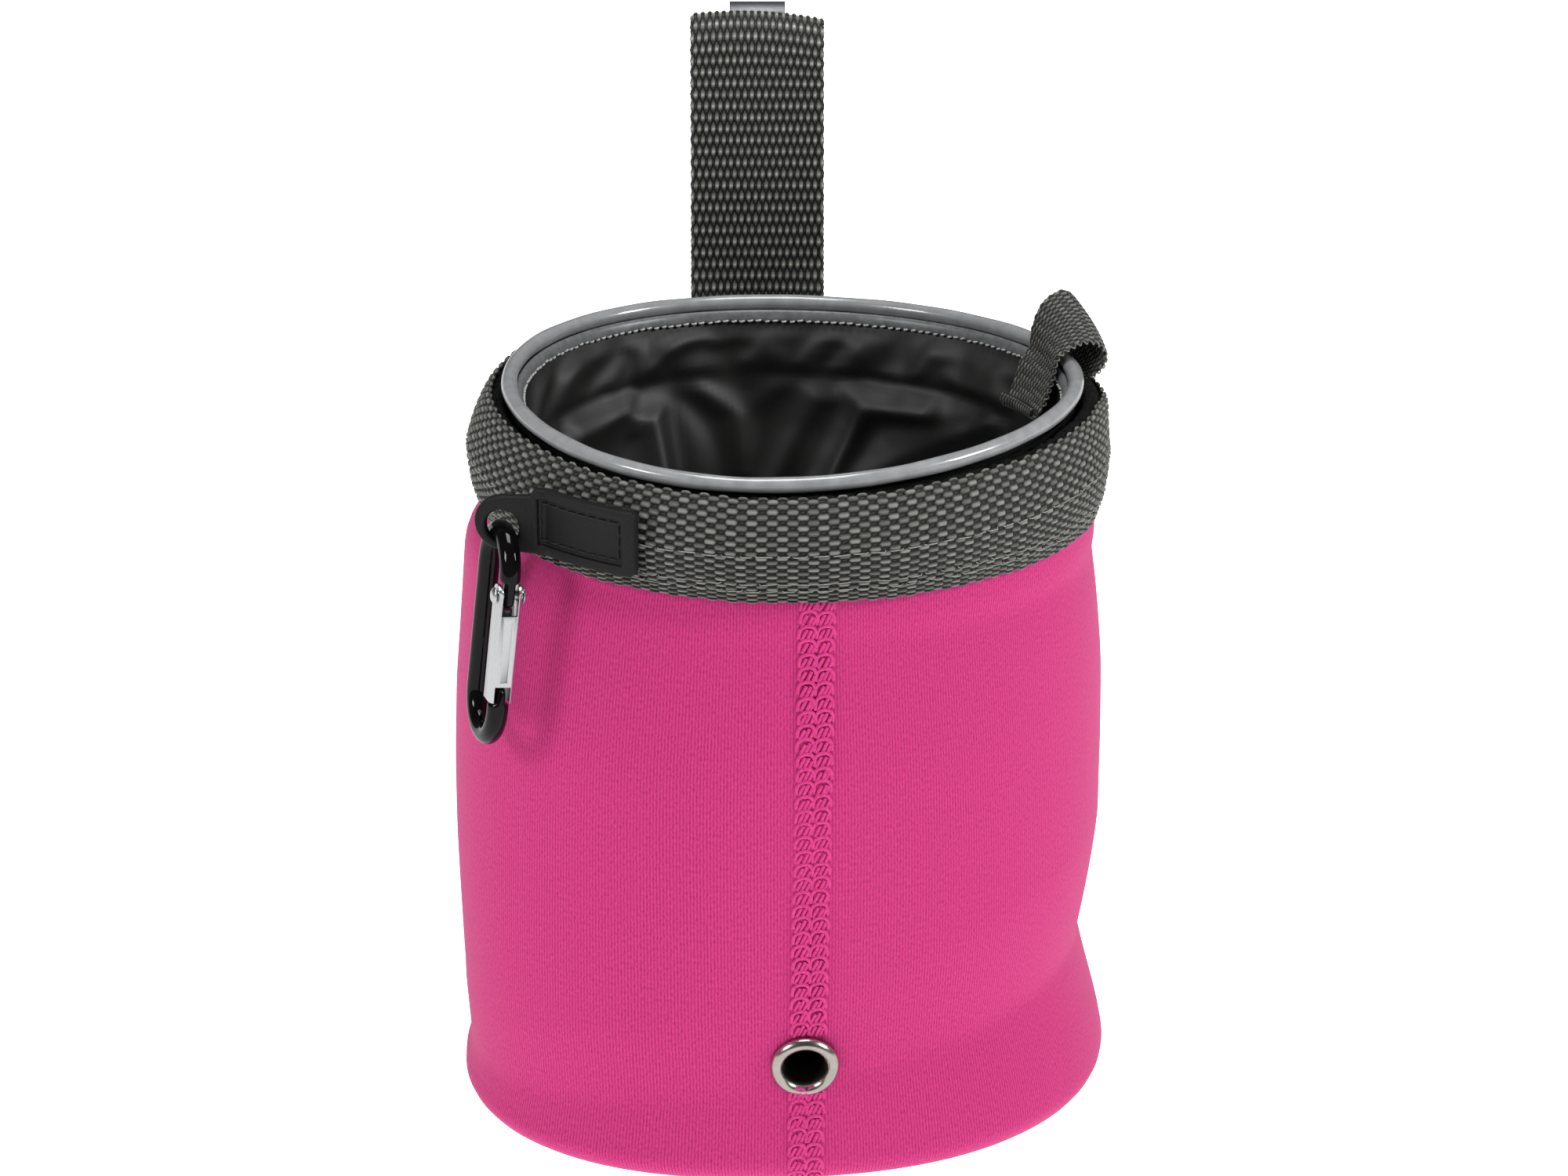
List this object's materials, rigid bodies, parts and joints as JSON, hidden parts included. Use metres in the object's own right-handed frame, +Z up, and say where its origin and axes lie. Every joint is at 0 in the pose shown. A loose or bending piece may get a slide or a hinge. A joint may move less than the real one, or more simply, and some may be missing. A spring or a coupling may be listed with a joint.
{
  "type": "treat pouch",
  "caption": "Round neoprene treat pouch with a lined inner bag on a stiff rim, a webbing band, a belt strap with a spring clip, a pull tab and a carabiner hung from a rubber label.",
  "frame": {"origin": "centre of the flat base that the pouch stands on", "axes": "+Z up through the mouth, -Y out of the front with its seam and eyelet, +X to the right seen from the front"},
  "size_m": [0.1152, 0.1331, 0.178],
  "materials": {
    "pink_neoprene": "knit-faced neoprene",
    "pink_seam_thread": "coverstitch thread",
    "grey_webbing": "coarse woven polypropylene",
    "black_tape": "hook and loop",
    "black_rubber": "moulded soft PVC",
    "nickel": "nickel plated",
    "black_lining": "coated satin",
    "silver_piping": "glossy reflective PVC",
    "clip_steel": "satin spring steel",
    "spring_steel": "drawn wire",
    "black_carabiner": "black anodised, glossy",
    "bright_gate": "bright plated sheet steel"
  },
  "bodies": {
    "pouch": {"outer_shell": "pink_neoprene", "base_panel": "pink_neoprene", "front_seam_upper": "pink_seam_thread", "front_seam_lower": "pink_seam_thread", "top_band": "grey_webbing", "loop_tape": "black_tape", "label_patch": "black_rubber", "eyelet": "nickel", "eyelet_washer": "nickel", "strap_anchor": "grey_webbing"},
    "liner": {"liner_bag": "black_lining", "liner_base": "black_lining", "hook_tape": "black_tape", "rim_piping": "silver_piping", "rim_hoop": "spring_steel", "pull_tab": "grey_webbing"},
    "strap": {"belt_strap": "grey_webbing", "belt_clip": "clip_steel", "clip_rivet_upper": "clip_steel", "clip_rivet_lower": "clip_steel"},
    "clip_leg": {"belt_clip_leg": "clip_steel"},
    "carabiner": {"carabiner_body": "black_carabiner", "gate_rivet": "bright_gate"},
    "gate": {"carabiner_gate": "bright_gate", "gate_plunger": "spring_steel", "gate_spring": "spring_steel"}
  },
  "joints": [
    {"name": "liner_lift", "type": "slide", "parent": "pouch", "child": "liner", "axis": [0, 0, 1], "range_m": [0, 0.11]},
    {"name": "strap_flex", "type": "hinge", "parent": "pouch", "child": "strap", "pos_m": [-0.0048, 0.0574, 0.1285], "axis": [-1, 0, 0], "range_deg": [-60, 80], "stiffness_Nm_per_rad": 0.06},
    {"name": "clip_leg_flex", "type": "hinge", "parent": "strap", "child": "clip_leg", "pos_m": [-0.0048, 0.07295, 0.1732], "axis": [1, 0, 0], "range_deg": [0, 14], "stiffness_Nm_per_rad": 0.3, "springref_deg": -1.15},
    {"name": "carabiner_swing", "type": "hinge", "parent": "pouch", "child": "carabiner", "pos_m": [-0.04855, -0.03992, 0.10911], "axis": [-0.9511, -0.2908, 0.1045], "range_deg": [-4, 70]},
    {"name": "gate_open", "type": "hinge", "parent": "carabiner", "child": "gate", "pos_m": [-0.04691, -0.04622, 0.10643], "axis": [0.9511, 0.2908, -0.1045], "range_deg": [0, 20], "stiffness_Nm_per_rad": 0.05, "springref_deg": -11.46}
  ]
}
